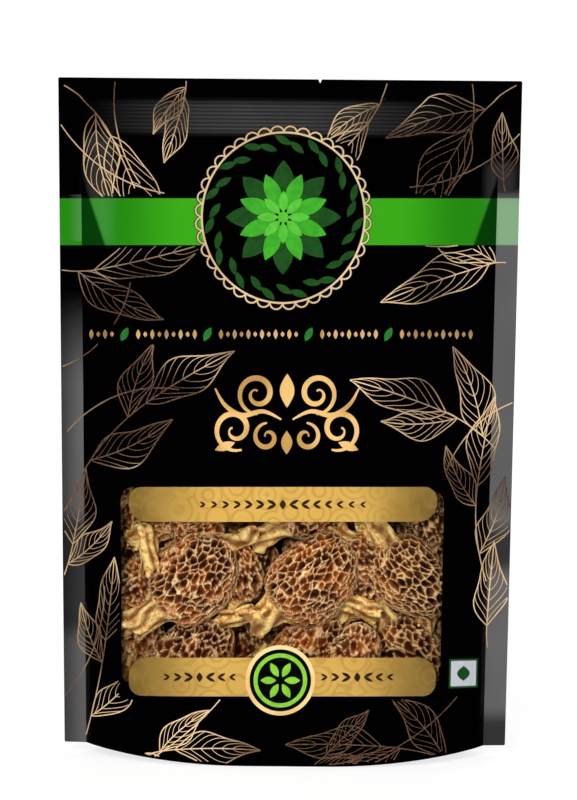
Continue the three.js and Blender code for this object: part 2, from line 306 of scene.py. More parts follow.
def raise_solid(obj, depth):
    """Turns a flat outline into a closed prism that rises by depth."""
    activate(obj)
    editing(True)
    bpy.ops.mesh.select_all(action="SELECT")
    bpy.ops.mesh.extrude_region_move(TRANSFORM_OT_translate={"value": (0, 0, depth)})
    editing(False)
    face_outward(obj)
    bpy.ops.object.transform_apply()


def round_prism(u, v, radius, depth):
    deselect()
    bpy.ops.mesh.primitive_cylinder_add(vertices=64, radius=radius, depth=depth, location=(u, v, 0))
    obj = added("cutter")
    bpy.ops.object.transform_apply()
    return obj


def notch_prism(depth, side):
    """A wedge that points down from the top edge, at the same end of the pouch on both films."""
    deselect()
    bpy.ops.mesh.primitive_cylinder_add(vertices=3, depth=depth)
    obj = added("cutter")
    corners = [(-NOTCH_WIDTH / 2, NOTCH_DEPTH), (NOTCH_WIDTH / 2, NOTCH_DEPTH), (0, -NOTCH_DEPTH)]
    for vertex in obj.data.vertices:
        across, up = corners[vertex.index // 2]
        vertex.co.x, vertex.co.y = side * NOTCH_U + across, POUCH_HEIGHT + up
    face_outward(obj)
    return obj


def cut(obj, tool, operation):
    apply_modifier(obj, "BOOLEAN", operation=operation, solver="MANIFOLD", object=tool)
    bpy.data.objects.remove(tool)


def wrap(obj, height, side=FRONT, print_level=True):
    """Moves a flat piece onto the pouch, height over the film, and shades it smooth."""
    for vertex in obj.data.vertices:
        u, v, up = vertex.co
        vertex.co = on_pouch(u, levelled(u, v) if print_level else v, height + up, side)
    activate(obj)
    bpy.ops.object.shade_smooth_by_angle(angle=radians(40))
    return obj


def slab(name, columns, rows, thick):
    """A closed flat sheet whose top face lies at 0."""
    obj = flat_grid(name, columns, rows)
    apply_modifier(obj, "SOLIDIFY", thickness=thick, offset=-1)
    return obj


def patch(name, shape, thick, height, pitch=2.0):
    """A thin rounded rectangle on the front."""
    u, v, width, high = shape[:4]
    across = steps(u - width / 2 - 1, u + width / 2 + 1, ceil(width / pitch))
    up = steps(v - high / 2 - 1, v + high / 2 + 1, ceil(high / pitch))
    obj = slab(name, across, up, thick)
    cut(obj, rounded_prism(shape, 10), "INTERSECT")
    return wrap(obj, height + thick)


def disc(name, centre, radius, thick, height, hole=0):
    """A thin disc, or a ring, on the front."""
    count = max(4, ceil(radius))
    across, up = [steps(middle - radius - 1, middle + radius + 1, count) for middle in centre]
    obj = slab(name, across, up, thick)
    cut(obj, round_prism(*centre, radius, 10), "INTERSECT")
    if hole:
        cut(obj, round_prism(*centre, hole, 12), "DIFFERENCE")
    return wrap(obj, height + thick)


def strokes(name, lines, width, height, thick=0.05):
    """Lines of print on the front. Each point is (u, v), or (u, v, share of the width)."""
    curve = bpy.data.curves.new(name, "CURVE")
    curve.dimensions = "2D"
    curve.fill_mode = "NONE"
    curve.bevel_depth = width / 2
    curve.bevel_resolution = 0
    curve.use_fill_caps = True
    for line in lines:
        spline = curve.splines.new("POLY")
        spline.points.add(len(line) - 1)
        for point, place in zip(spline.points, line):
            point.co = (place[0], place[1], 0, 1)
            point.radius = place[2] if len(place) > 2 else 1
    obj = bpy.data.objects.new(name, curve)
    bpy.context.scene.collection.objects.link(obj)
    activate(obj)
    bpy.ops.object.convert(target="MESH")
    obj = added(name)
    for vertex in obj.data.vertices:
        vertex.co.z *= 2 * thick / width
    return wrap(obj, height)


def blades(name, outlines, height, thick=0.05):
    """Filled leaves or lozenges on the front. Each outline is (root, heading, length, width, roundness)."""
    parts = []
    for root, heading, length, width, roundness in outlines:
        root, axis = Vector(root), direction(heading)
        side = Vector((-axis.y, axis.x))
        obj = flat_grid(name, steps(0, 1, 8), steps(-1, 1, 4))
        for vertex in obj.data.vertices:
            t, s = vertex.co.x, vertex.co.y
            half = width / 2 * max(0.02, sin(pi * t)) ** roundness
            place = root + axis * length * t + side * half * s
            vertex.co = (place.x, place.y, 0)
        apply_modifier(obj, "SOLIDIFY", thickness=thick, offset=1)
        parts.append(obj)
    deselect()
    for obj in parts:
        obj.select_set(True)
    bpy.context.view_layer.objects.active = parts[0]
    if len(parts) > 1:
        bpy.ops.object.join()
    return wrap(added(name), height)


def printed(obj, material):
    """Dresses a piece of print on the front."""
    return dress(obj, "gold_label", material)


def dress(obj, slot, material, *nodes):
    """Gives a finished piece its material and its body, and hides the solids that it stands for. Its slot is
    not used.
    """
    obj.data.materials.clear()
    obj.data.materials.append(material)
    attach(obj, BODY)
    if nodes:
        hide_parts(*nodes)
    return obj


# Finishes

def rgb(red, green, blue):
    """A colour as the eye reads it, 0 to 255, as the shader's linear colour."""
    shares = [c / 255 for c in (red, green, blue)]
    linear = [s / 12.92 if s <= 0.0404 else ((s + 0.055) / 1.055) ** 2.4 for s in shares]
    return (*linear, 1.0)


def finish(name, **sockets):
    material = bpy.data.materials.new(name)
    material.use_nodes = True
    shader = material.node_tree.nodes["Principled BSDF"]
    for socket, value in sockets.items():
        shader.inputs[socket.replace("_", " ")].default_value = value
    return material, material.node_tree, shader


def put(tree, kind, inputs, **settings):
    """Adds a node. Each input is a number, a colour or another node's output."""
    node = tree.nodes.new("ShaderNode" + kind)
    for key, value in settings.items():
        setattr(node, key, value)
    for socket, value in inputs.items():
        if isinstance(value, bpy.types.NodeSocket):
            tree.links.new(value, node.inputs[socket])
        else:
            node.inputs[socket].default_value = value
    return node


def calc(tree, operation, a, b=0.0, c=0.0):
    """A sum on one, two or three values."""
    return put(tree, "Math", {0: a, 1: b, 2: c}, operation=operation).outputs[0]


def times(tree, *values):
    """The product of all these."""
    product = values[0]
    for value in values[1:]:
        product = calc(tree, "MULTIPLY", product, value)
    return product


def scaled(tree, value, share, more):
    """The value times its share, and some more added."""
    return calc(tree, "MULTIPLY_ADD", value, share, more)


def spread(tree, value, low, high):
    """0 to 1 as low to high."""
    return put(tree, "MapRange", {"Value": value, "To Min": low, "To Max": high}).outputs["Result"]


def ease(tree, value, start, end):
    """0 below start, 1 above end, and smooth between them."""
    inputs = {"Value": value, "From Min": start, "From Max": end}
    return put(tree, "MapRange", inputs, interpolation_type="SMOOTHSTEP").outputs["Result"]


def blend(tree, share, a, b):
    node = put(tree, "Mix", {0: share, 6: a, 7: b}, data_type="RGBA")
    return node.outputs[2]


def object_place(tree):
    """The point of the object, and its x, y and z, in metres."""
    place = tree.nodes.new("ShaderNodeTexCoord").outputs["Object"]
    axes = put(tree, "SeparateXYZ", {0: place})
    return place, axes.outputs["X"], axes.outputs["Y"], axes.outputs["Z"]


def speckle(tree, place, scale, detail=4.0, roughness=0.6, distortion=0.0):
    inputs = {"Vector": place, "Scale": scale, "Detail": detail, "Roughness": roughness}
    return put(tree, "TexNoise", {**inputs, "Distortion": distortion}).outputs["Fac"]


def paint(tree, shader, colour):
    tree.links.new(colour, shader.inputs["Base Color"])


def bump(tree, shader, height, strength, distance):
    node = put(tree, "Bump", {"Height": height, "Strength": strength, "Distance": distance})
    tree.links.new(node.outputs["Normal"], shader.inputs["Normal"])


BAND_GREEN = rgb(58, 172, 20)
BAND_DEEP = rgb(34, 140, 10)
# painted shade: the dark green laid into the crease beside each seal
BAND_PAINTED_SHADE = rgb(2, 62, 4)
INK_BLACK = rgb(1, 1, 1)
GOLD_PALE = rgb(236, 200, 150)
GOLD_DIM = rgb(66, 32, 16)
# Strengths of the grey painted reflections on the seals, on two patches beside the seals and across the zip
SEAL_PAINTED_SHEEN = 0.115
PATCH_PAINTED_SHEEN = 0.026
ZIP_PAINTED_SHEEN = 0.05
# Boxes on the film, as the pouch is seen from the front: left, right, low and high end
BAND_ON_LEFT = (-90, 0, BAND_LOW, BAND_HIGH)
BAND_ON_RIGHT = (0, 90, BAND_LOW, BAND_HIGH)
# the two patches of painted reflection beside the seals
SHEEN_PATCH_LEFT = (-70, -61, 182, 220)
SHEEN_PATCH_RIGHT = (68, 78, 184, 211)
# where the seals' painted reflection fades out
SHEEN_GAP_LEFT = (-90, 0, 42, 84)
SHEEN_GAP_RIGHT = [(0, 90, 66, 81), (0, 90, -20, 14)]
ZIP_BOX = (-90, 90, ZIP_LOW, ZIP_HIGH)


def soft_box(tree, x, z, box, soft):
    """1 inside a box, fading to 0 over a soft edge."""
    left, right, low, high = [edge * MM for edge in box]
    soft *= MM
    sides = times(tree, ease(tree, x, left - soft, left + soft), ease(tree, x, right + soft, right - soft))
    ends = times(tree, ease(tree, z, low - soft, low + soft), ease(tree, z, high + soft, high - soft))
    return times(tree, sides, ends)


def band_share(tree, x, y, z):
    """1 on the green band round the pouch, apart from the medallion's black disc on the front."""
    behind = calc(tree, "SUBTRACT", BAND_DEPTH * MM, calc(tree, "ABSOLUTE", y))
    level = scaled(tree, behind, PRINT_BOW, z)
    level = scaled(tree, x, -PRINT_TILT, level)
    over = calc(tree, "GREATER_THAN", level, BAND_LOW * MM)
    under = calc(tree, "LESS_THAN", level, BAND_HIGH * MM)
    across = calc(tree, "SUBTRACT", x, MEDALLION.x * MM)
    up = calc(tree, "SUBTRACT", level, MEDALLION.y * MM)
    up = calc(tree, "DIVIDE", up, MEDALLION_TALL)
    squared = calc(tree, "ADD", times(tree, across, across), times(tree, up, up))
    outside = calc(tree, "GREATER_THAN", squared, (MEDALLION_RADIUS * MM) ** 2)
    outside = calc(tree, "MAXIMUM", outside, calc(tree, "GREATER_THAN", y, 0.0))
    return times(tree, over, under, outside)


def seal_painted_sheen(tree, x, z, into_seal):
    """How much grey painted reflection the side seals show: in stretches, and fading out upwards."""
    on_right = calc(tree, "GREATER_THAN", x, 0.0)
    on_left = calc(tree, "SUBTRACT", 1.0, on_right)
    graded = scaled(tree, ease(tree, into_seal, 8 * MM, 0.0), 0.6, 0.4)
    left = times(tree, on_left, graded, ease(tree, z, 166 * MM, 128 * MM))
    band_left = times(tree, ease(tree, into_seal, 5 * MM, 0.0), soft_box(tree, x, z, BAND_ON_LEFT, 0.1), 0.4)
    band_right = scaled(tree, soft_box(tree, x, z, BAND_ON_RIGHT, 0.1), 0.9, 1.0)
    right = times(tree, on_right, band_right, ease(tree, z, 203 * MM, 197 * MM))
    # the painted reflection on the seals fades out in these boxes
    dull = soft_box(tree, x, z, SHEEN_GAP_LEFT, 5)
    for box in SHEEN_GAP_RIGHT:
        dull = calc(tree, "MAXIMUM", dull, soft_box(tree, x, z, box, 4))
    seals = calc(tree, "ADD", calc(tree, "MAXIMUM", left, band_left), right)
    shining = scaled(tree, dull, -0.72, 1.0)
    return times(tree, seals, shining, calc(tree, "GREATER_THAN", into_seal, 0.0), SEAL_PAINTED_SHEEN)


def film_painted_sheen(tree, place, x, z, into_seal, crease_shade):
    """How much grey painted reflection the film shows: along the seals, over the zip, and in two patches
    beside the seals.
    """
    # painted reflection: two grey patches beside the seals, kept out of the painted crease shade
    sheen_patches = calc(tree, "ADD", soft_box(tree, x, z, SHEEN_PATCH_LEFT, 3.0), soft_box(tree, x, z, SHEEN_PATCH_RIGHT, 2.5))
    sheen_patches = times(tree, sheen_patches, calc(tree, "SUBTRACT", 1.0, crease_shade), PATCH_PAINTED_SHEEN)
    ribs = calc(tree, "SINE", times(tree, z, 2 * pi / (RIB_PITCH * MM)))
    lines = scaled(tree, ribs, 0.25, 0.75)
    fading = times(tree, ease(tree, x, -74 * MM, -20 * MM), ease(tree, x, 64 * MM, -4 * MM))
    # painted reflection: a grey band of fine lines across the zip
    zip_sheen = times(tree, soft_box(tree, x, z, ZIP_BOX, 1.6), lines, fading, ZIP_PAINTED_SHEEN)
    painted_sheen = calc(tree, "ADD", calc(tree, "MAXIMUM", seal_painted_sheen(tree, x, z, into_seal), sheen_patches), zip_sheen)
    return times(tree, painted_sheen, spread(tree, speckle(tree, place, 45, 3, 0.5), 0.8, 1.2))


def film_finish():
    """Glossy black film with the green band printed round it, a deeper green towards both sides, and painted
    shade in the crease beside each seal. Grey painted reflections lie on the seals, over the zip and in two
    patches beside the seals.
    """
    material, tree, shader = finish("black_printed_film", IOR=1.5)
    place, x, y, z = object_place(tree)
    sideways = calc(tree, "ABSOLUTE", x)
    half = scaled(tree, z, FOOT_NARROWING / POUCH_HEIGHT, (FLAT_HALF - FOOT_NARROWING) * MM)
    into_seal = calc(tree, "SUBTRACT", sideways, half)
    # Painted shade: a wedge beside each seal, widening downwards where the film creases, in which the green
    # turns dark
    crease_width = scaled(tree, z, -0.32, 0.32 * 207.5 * MM)
    crease_shade = ease(tree, calc(tree, "ADD", into_seal, crease_width), -0.5 * MM, 1.0 * MM)
    crease_shade = times(tree, crease_shade, calc(tree, "LESS_THAN", into_seal, 0.0))
    # the green turns deeper towards both sides
    green = blend(tree, ease(tree, sideways, 0.036, 0.060), BAND_GREEN, BAND_DEEP)
    green = blend(tree, crease_shade, green, BAND_PAINTED_SHADE)
    ink = blend(tree, band_share(tree, x, y, z), INK_BLACK, green)
    painted_sheen = film_painted_sheen(tree, place, x, z, into_seal, crease_shade)
    # the painted reflections are mixed into the colour as white
    paint(tree, shader, blend(tree, painted_sheen, ink, rgb(255, 255, 255)))

    gloss = spread(tree, speckle(tree, place, 60, 3, 0.5), 0.11, 0.19)
    matt = ease(tree, painted_sheen, 0.0, 0.1)
    tree.links.new(scaled(tree, matt, 0.28, gloss), shader.inputs["Roughness"])
    bump(tree, shader, speckle(tree, place, 900, 2, 0.5), 0.05, 0.0001)
    return material


def clear_finish():
    """Clear window film: almost all light goes through, and a little is mirrored."""
    material, tree, shader = finish("clear_window_film")
    tree.nodes.remove(shader)
    rough = spread(tree, speckle(tree, object_place(tree)[0], 90), 0.04, 0.12)
    through = put(tree, "BsdfTransparent", {"Color": rgb(253, 253, 252)})
    mirror = put(tree, "BsdfGlossy", {"Roughness": rough})
    edge_on = put(tree, "LayerWeight", {"Blend": 0.5}).outputs["Facing"]
    share = scaled(tree, calc(tree, "POWER", edge_on, 5.0), 0.9, 0.018)
    shader = put(tree, "MixShader", {0: share, 1: through.outputs[0], 2: mirror.outputs[0]})
    tree.links.new(shader.outputs[0], tree.nodes["Material Output"].inputs["Surface"])
    return material


def gold_label_finish():
    """Printed gold: bright in the middle, darker at both ends, with tone-on-tone scrolls of fine arcs."""
    material, tree, shader = finish("gold_label", Roughness=0.42)
    place, x, _, _ = object_place(tree)
    ends = ease(tree, calc(tree, "ABSOLUTE", calc(tree, "SUBTRACT", x, -1.4 * MM)), 0.022, 0.054)
    gold = blend(tree, ends, rgb(196, 154, 66), rgb(112, 84, 16))
    cell = put(tree, "TexVoronoi", {"Vector": place, "Scale": 105, "Randomness": 0.55}, feature="F1")
    arcs = calc(tree, "SINE", times(tree, cell.outputs["Distance"], 26.0))
    rings = ease(tree, arcs, 0.2, 0.9)
    gold = blend(tree, times(tree, rings, 0.4), gold, rgb(146, 108, 34))
    cloud = ease(tree, speckle(tree, place, 70, 3), 0.35, 0.7)
    paint(tree, shader, blend(tree, times(tree, cloud, 0.1), gold, rgb(240, 206, 120)))
    bump(tree, shader, rings, 0.1, 0.0001)
    return material


def line_finish(name, bright, dim, low=0.36, high=0.62, scale=26):
    """Metallic ink that fades from bright to dim across the pouch."""
    material, tree, shader = finish(name, Roughness=0.38)
    place = object_place(tree)[0]
    fade = ease(tree, speckle(tree, place, scale, 1.5, 0.4), low, high)
    ink = blend(tree, fade, bright, dim)
    grain = ease(tree, speckle(tree, place, 1800, 2), 0.3, 0.7)
    paint(tree, shader, blend(tree, times(tree, grain, 0.15), ink, bright))
    return material


def morel_finish():
    """Dried morel: pale thin ridges round red-brown and amber pits, and a cream, wrinkled stem. The pits and
    the stem's folds darken with their depth: partly the morel's own darker pit colour, partly painted shade
    in the hollows.
    """
    material, tree, shader = finish("dried_morel", Roughness=0.62)
    place, x, _, _ = object_place(tree)
    crest_share = put(tree, "Attribute", {}, attribute_name="ridge").outputs["Fac"]
    depth = put(tree, "Attribute", {}, attribute_name="depth").outputs["Fac"]
    stem = put(tree, "Attribute", {}, attribute_name="stem").outputs["Fac"]
    patchy = ease(tree, speckle(tree, place, 130, 3), 0.4, 0.64)
    fine = speckle(tree, place, 900, 4, 0.7)
    # pit colours reach near black: the pits' own dark brown together with painted shade deep in the hollows
    pit = blend(tree, patchy, rgb(16, 3, 0), rgb(118, 48, 2))
    pit = blend(tree, ease(tree, fine, 0.4, 0.75), pit, rgb(58, 20, 2))
    wall = blend(tree, patchy, rgb(88, 36, 2), rgb(166, 84, 10))
    crest = blend(tree, ease(tree, fine, 0.3, 0.7), rgb(202, 134, 60), rgb(255, 228, 176))
    # the cap darkens with depth into each pit: partly own colour, partly painted shade
    cap = blend(tree, depth, wall, pit)
    cap = blend(tree, crest_share, cap, crest)
    # the greyer caps darken into their pits the same way, partly as painted shade
    greyer = blend(tree, depth, rgb(92, 52, 14), rgb(26, 8, 0))
    greyer = blend(tree, crest_share, greyer, rgb(228, 186, 128))
    toward_right = times(tree, ease(tree, x, 0.026, 0.044), 0.75)
    cap = blend(tree, toward_right, cap, greyer)
    streak = speckle(tree, place, 200, 5, 0.7, 2.5)
    cream = blend(tree, ease(tree, streak, 0.34, 0.6), rgb(184, 98, 16), rgb(255, 224, 140))
    # painted shade: the stem darkens in the low parts of its folds
    cream = blend(tree, times(tree, depth, 0.85), cream, rgb(112, 46, 6))
    paint(tree, shader, blend(tree, stem, cap, cream))
    bump(tree, shader, fine, 0.4, 0.0003)
    return material


def plain_finish(name, colour, other, roughness, scale=400):
    """An even finish with a faint mottle and grain."""
    material, tree, shader = finish(name, Roughness=roughness)
    place = object_place(tree)[0]
    mottle = ease(tree, speckle(tree, place, scale, 3), 0.3, 0.7)
    paint(tree, shader, blend(tree, mottle, colour, other))
    bump(tree, shader, speckle(tree, place, scale * 4, 2), 0.06, 0.0001)
    return material


# The films

def film_columns():
    """Closer together towards the seals, where the film curves most."""
    crowding = 1.2
    inner = [FLAT_HALF * sin(crowding * t) / sin(crowding) for t in steps(-1, 1, 76)]
    outer = steps(FLAT_HALF, POUCH_WIDTH / 2 + 1, 6)[1:]
    return [-u for u in reversed(outer)] + inner + outer


def film_rows():
    """Much closer together over the zip, for its ribs."""
    under_zip, over_zip = ZIP_LOW - 1.5, ZIP_HIGH + ZIP_EDGE
    return steps(-1, under_zip, 96)[:-1] + steps(under_zip, over_zip, 68) + [236, 238, 241]


def film_panel(name, side):
    obj = slab(name, film_columns(), film_rows(), FILM)
    outline = (0, POUCH_HEIGHT / 2, POUCH_WIDTH, POUCH_HEIGHT, FILM_CORNER, FILM_CORNER)
    cut(obj, rounded_prism(outline, 10), "INTERSECT")
    cut(obj, notch_prism(12, side), "DIFFERENCE")
    if side == FRONT:
        cut(obj, rounded_prism(WINDOW, 12), "DIFFERENCE")
    return wrap(obj, 0, side, print_level=False)


def gusset_section(u):
    """The folded bottom film at u, from the front foot over the hollow to the back foot, as (y, z)."""
    top = GUSSET_FOOT + GUSSET_RISE * (abs(u) / FLAT_HALF) ** 3
    foot = SKIRT_FOOT + corner_lift(u, 0)
    sag = min(GUSSET_SAG, (inner_depth(u, top) - GUSSET_GAP) * GUSSET_STEEPEST)
    rise = [(GUSSET_GAP - inner_depth(u, z), z) for z in steps(foot, top, 6)[:-1]]
    reach = inner_depth(u, top) - GUSSET_GAP
    over = [(t * reach, top - sag * (1 - t * t)) for t in steps(-1, 1, 22)]
    return rise + over + [(-y, z) for y, z in reversed(rise)]


def gusset():
    columns = [FLAT_HALF * 0.985 * t for t in steps(-1, 1, 90)]
    sections = [gusset_section(u) for u in columns]
    obj = flat_grid("gusset_film", columns, list(range(len(sections[0]))))
    for i, (u, section) in enumerate(zip(columns, sections)):
        for k, (y, z) in enumerate(section):
            obj.data.vertices[k * len(columns) + i].co = Vector((across_at(u, z), y, z)) * MM
    apply_modifier(obj, "SOLIDIFY", thickness=FILM * MM, offset=1)
    activate(obj)
    bpy.ops.object.shade_smooth_by_angle(angle=radians(50))
    return obj


# The print

def scroll(centre, start, turns, radius, width, flip):
    """A spiral that winds in to its centre, heavier in its middle."""
    line = []
    for t in steps(0, 1, 40):
        reach = radius * (1 - t) ** 0.8 + radius * 0.12 * t
        angle = radians(start) + flip * turns * 2 * pi * t
        share = width * (0.35 + 0.65 * sin(pi * min(1, t * 1.15)) ** 0.7)
        line.append((centre[0] + reach * cos(angle), centre[1] + reach * sin(angle), share))
    return line


def arc_point(root, heading, curl, length, t):
    """A point along a bending line, and where the line is heading there. The curl is never 0."""
    turned = heading + curl * t
    reach = length / radians(curl)
    a, b = radians(heading), radians(turned)
    return root + Vector((sin(b) - sin(a), cos(a) - cos(b))) * reach, turned


def leaf_lines(root, heading, curl, length, width):
    """The edges and midrib of a leaf, and then its side veins."""
    wave = noise.noise(Vector((root.x / 5, root.y / 5, length)))

    def at(t, share):
        place, turned = arc_point(root, heading, curl, length, t)
        half = width / 2 * sin(pi * min(1, t) ** 0.78) ** 1.15
        half *= 1 + 0.22 * sin(8 * t + 9 * wave + share) * abs(share)
        return place + direction(turned + 90) * half * share

    edges = [[at(t, share) for t in steps(0, 1, 20)] for share in (1, -1)]
    rib = [at(t, 0) for t in steps(0, 0.96, 10)]
    fine = []
    for start in steps(0.05, 0.67, LEAF_VEINS - 1):
        for share in (0.96, -0.96):
            fine.append([at(start + 0.3 * q, share * q**0.7) for q in steps(0, 1, 7)])
    return edges + [rib], fine


def sprig(root, heading, curl, length, leaves, leaf_length, leaf_width):
    """A stem with leaves by turns on its two sides and one at its tip."""
    root = Vector(root)
    mains = [[arc_point(root, heading, curl, length, t)[0] for t in steps(0, 1, 16)]]
    fine = []
    for k in range(leaves):
        t = (k + 0.6) / leaves
        place, turned = arc_point(root, heading, curl, length, t)
        side = 1 if k % 2 else -1
        size = 1 - 0.3 * t
        outward = turned + side * LEAF_SPLAY
        lines = leaf_lines(place, outward, -side * LEAF_CURL, leaf_length * size, leaf_width * size)
        mains += lines[0]
        fine += lines[1]
    tip, turned = arc_point(root, heading, curl, length, 1)
    lines = leaf_lines(tip, turned, curl * 0.3, leaf_length, leaf_width)
    return mains + lines[0], fine + lines[1]


def printed_over(u, v):
    """Where a label, the band or the medallion covers the line art."""
    off_film = not 0.8 < levelled(u, v) < POUCH_HEIGHT - 0.5 or abs(u) > POUCH_WIDTH / 2 - 0.4
    if off_film or BAND_LOW < v < BAND_HIGH:
        return True
    if (Vector((u, v)) - MEDALLION).length < MEDALLION_RADIUS + 3.2:
        return True
    if hypot(u - SEAL_U, v - SEAL_V) < SEAL_RADIUS + 1:
        return True
    for box, beside, over in ((WINDOW, 0.5, 1), (MARK, 1.5, 1.5), ((0, ROW_V, 136, 0), 0, 3.2)):
        if abs(u - box[0]) < box[2] / 2 + beside and abs(v - box[1]) < box[3] / 2 + over:
            return True
    return False


def over_the_step(line):
    """The line with more points where it crosses the steep step over the zip."""
    finer = [line[0]]
    for start, end in zip(line, line[1:]):
        crosses = max(start.y, end.y) > ZIP_HIGH - 2 and min(start.y, end.y) < ZIP_HIGH + ZIP_EDGE + 2
        finer += [start.lerp(end, t) for t in steps(0, 1, 6 if crosses else 1)[1:]]
    return finer


def visible_lines(lines):
    """The stretches of the lines that nothing covers."""
    kept = []
    for line in lines:
        run = []
        for place in over_the_step(line):
            if printed_over(*place):
                if len(run) > 1:
                    kept.append(run)
                run = []
            else:
                run.append(place)
        if len(run) > 1:
            kept.append(run)
    return kept


LEAF_VEINS = 6
LEAF_SPLAY = 42
LEAF_CURL = 25
# Root, heading, bend, length, leaves, leaf length and leaf width of each sprig on the front
SPRIGS = [
    ((-78, 238), -30, -34, 24, 1, 42, 15),
    ((-36, 242), -84, -20, 8, 1, 24, 9),
    ((34, 242), -98, -30, 18, 1, 28, 10),
    ((78, 238), 208, 30, 22, 1, 44, 15),
    ((75, 201), 104, -10, 4, 0, 24, 9),
    ((-82, 174), -14, 24, 14, 1, 42, 14),
    ((76, 176), 174, 22, 6, 1, 40, 14),
    ((-76, 98), 64, -30, 40, 2, 36, 13),
    ((-82, 62), 66, 12, 18, 1, 27, 10),
    ((74, 112), 132, 26, 22, 2, 36, 13),
    ((72, 66), 110, -26, 34, 2, 31, 11),
    ((73, 42), 98, -10, 8, 0, 30, 11),
    ((-74, 6), 72, 10, 40, 2, 30, 10.5),
    ((-66, -3), 34, -30, 28, 2, 31, 11),
    ((68, -1), 156, 20, 34, 2, 35, 12),
    ((4, -4), 30, 14, 14, 1, 22, 8),
]
# Long bare stems that run between the sprigs: root, heading, bend, length
TENDRILS = [
    ((-80, 226), -60, 50, 46), ((-60, 242), -100, 44, 40), ((62, 242), -76, -50, 44),
    ((80, 222), 230, -46, 44), ((-80, 140), 20, 60, 40), ((80, 128), 200, 50, 34),
    ((-80, 24), 50, 40, 44), ((-50, 2), 30, 26, 46), ((30, 2), 20, 30, 40),
    ((80, 190), 214, -40, 34), ((-78, 118), 50, -60, 44),
]


def line_art():
    mains, fine = [], []
    for row in SPRIGS:
        heavy, light = sprig(*row)
        mains += heavy
        fine += light
    for root, heading, bend, length in TENDRILS:
        mains.append([arc_point(Vector(root), heading, bend, length, t)[0] for t in steps(0, 1, 60)])
    ink = line_finish("tan_gold_ink", GOLD_PALE, GOLD_DIM)
    printed(strokes("sprig_lines", visible_lines(mains), 0.4, 0.08), ink)
    printed(strokes("sprig_veins", visible_lines(fine), 0.22, 0.08), ink)


def on_medallion(degrees, share=1.0):
    """A point of the ring, which is a little taller than it is wide, or a share of the way out to it."""
    out = direction(degrees) * MEDALLION_RADIUS * share
    return MEDALLION + Vector((out.x, out.y * MEDALLION_TALL))


def medallion():
    """A gold ring with a scalloped rim, round a wreath and a star of leaves in green."""
    gold = line_finish("medallion_gold", rgb(238, 208, 158), rgb(214, 178, 124))
    black = plain_finish("rim_ink", INK_BLACK, rgb(8, 8, 9), 0.3)
    circle = [on_medallion(a) for a in steps(0, 360, 160)]
    rim = []
    reach = MEDALLION_RADIUS * sin(pi / SCALLOPS)
    for k in range(SCALLOPS):
        out = 360 * (k + 0.5) / SCALLOPS
        middle = on_medallion(out)
        rim.append([middle + direction(out + a) * reach for a in steps(-100, 100, 12)])
    dress(strokes("scallop_shadow", rim, 1.15, 0.0, 0.03), "black_film", black)
    printed(strokes("scallops", rim, 0.55, 0.06), gold)
    printed(strokes("medallion_ring", [circle], 0.7, 0.07), gold)

    bright = plain_finish("leaf_green_ink", rgb(62, 190, 24), rgb(50, 168, 20), 0.45)
    deep = plain_finish("deep_green_ink", rgb(22, 92, 18), rgb(16, 76, 14), 0.45)
    pale = plain_finish("pale_green_ink", rgb(96, 212, 56), rgb(78, 196, 40), 0.45)
    wreath = []
    for k in range(WREATH_LEAVES):
        angle = 360 / WREATH_LEAVES * k
        wreath.append((on_medallion(angle, 0.79 + 0.07 * (k % 2)), angle + 66, 6.4, 2.5, 0.8))
    printed(blades("wreath_leaves", wreath, 0.02), deep)
    printed(star("star_outer", 0, 4.0, 16.0, 7.6, 0.04), deep)
    printed(star("star_inner", 22.5, 3.0, 13.2, 5.6, 0.10), bright)
    printed(star("star_heart", 0, 1.6, 7.6, 3.2, 0.16), pale)
    printed(disc("star_middle", MEDALLION, 1.9, 0.05, 0.22), pale)


def star(name, turn, reach, length, width, height):
    """Eight petals round the middle of the medallion."""
    headings = steps(turn, turn + 315, 7)
    return blades(name, [(MEDALLION + direction(a) * reach, a, length, width, 0.8) for a in headings], height)


def flourish():
    """Mirrored scrolls and a lozenge in gold, where a title would stand."""
    gold = line_finish("flourish_gold", rgb(226, 184, 108), rgb(178, 134, 62), 0.4, 0.6, 60)
    middle, foot = -0.2, 124.8
    lines = []
    for side in (1, -1):
        lines.append(scroll((middle + side * 10.5, foot + 6.2), 270, 1.5, 7.0, 1.0, side))
        lines.append(scroll((middle + side * 18.5, foot - 6.0), 270 - side * 20, 1.4, 7.4, 1.0, side))
        lines.append(scroll((middle + side * 7.0, foot - 8.6), 90, 1.2, 4.8, 0.9, -side))
        sweep = [(side * u, v) for u, v in ((2, -2.6), (8.5, 0.2), (16, -1.2), (22, 2.4), (25.4, 8.0))]
        shares = [0.3 + 0.6 * sin(pi * t) for t in steps(0, 1, 20)]
        lines.append([(middle + p.x, foot + p.y, share) for p, share in zip(evenly(sweep, 20), shares)])
    printed(strokes("flourish_scrolls", lines, 1.9, 0.02), gold)
    lozenges = [
        ((middle, foot + 1.5), 90, 11.5, 5.2, 1.0),
        ((middle, foot - 14.5), 90, 8.0, 4.0, 1.0),
        ((middle - 25.4, foot - 13.0), 20, 7.5, 3.0, 0.9),
        ((middle + 25.4, foot - 13.0), 160, 7.5, 3.0, 0.9),
    ]
    printed(blades("flourish_lozenges", lozenges, 0.06), gold)


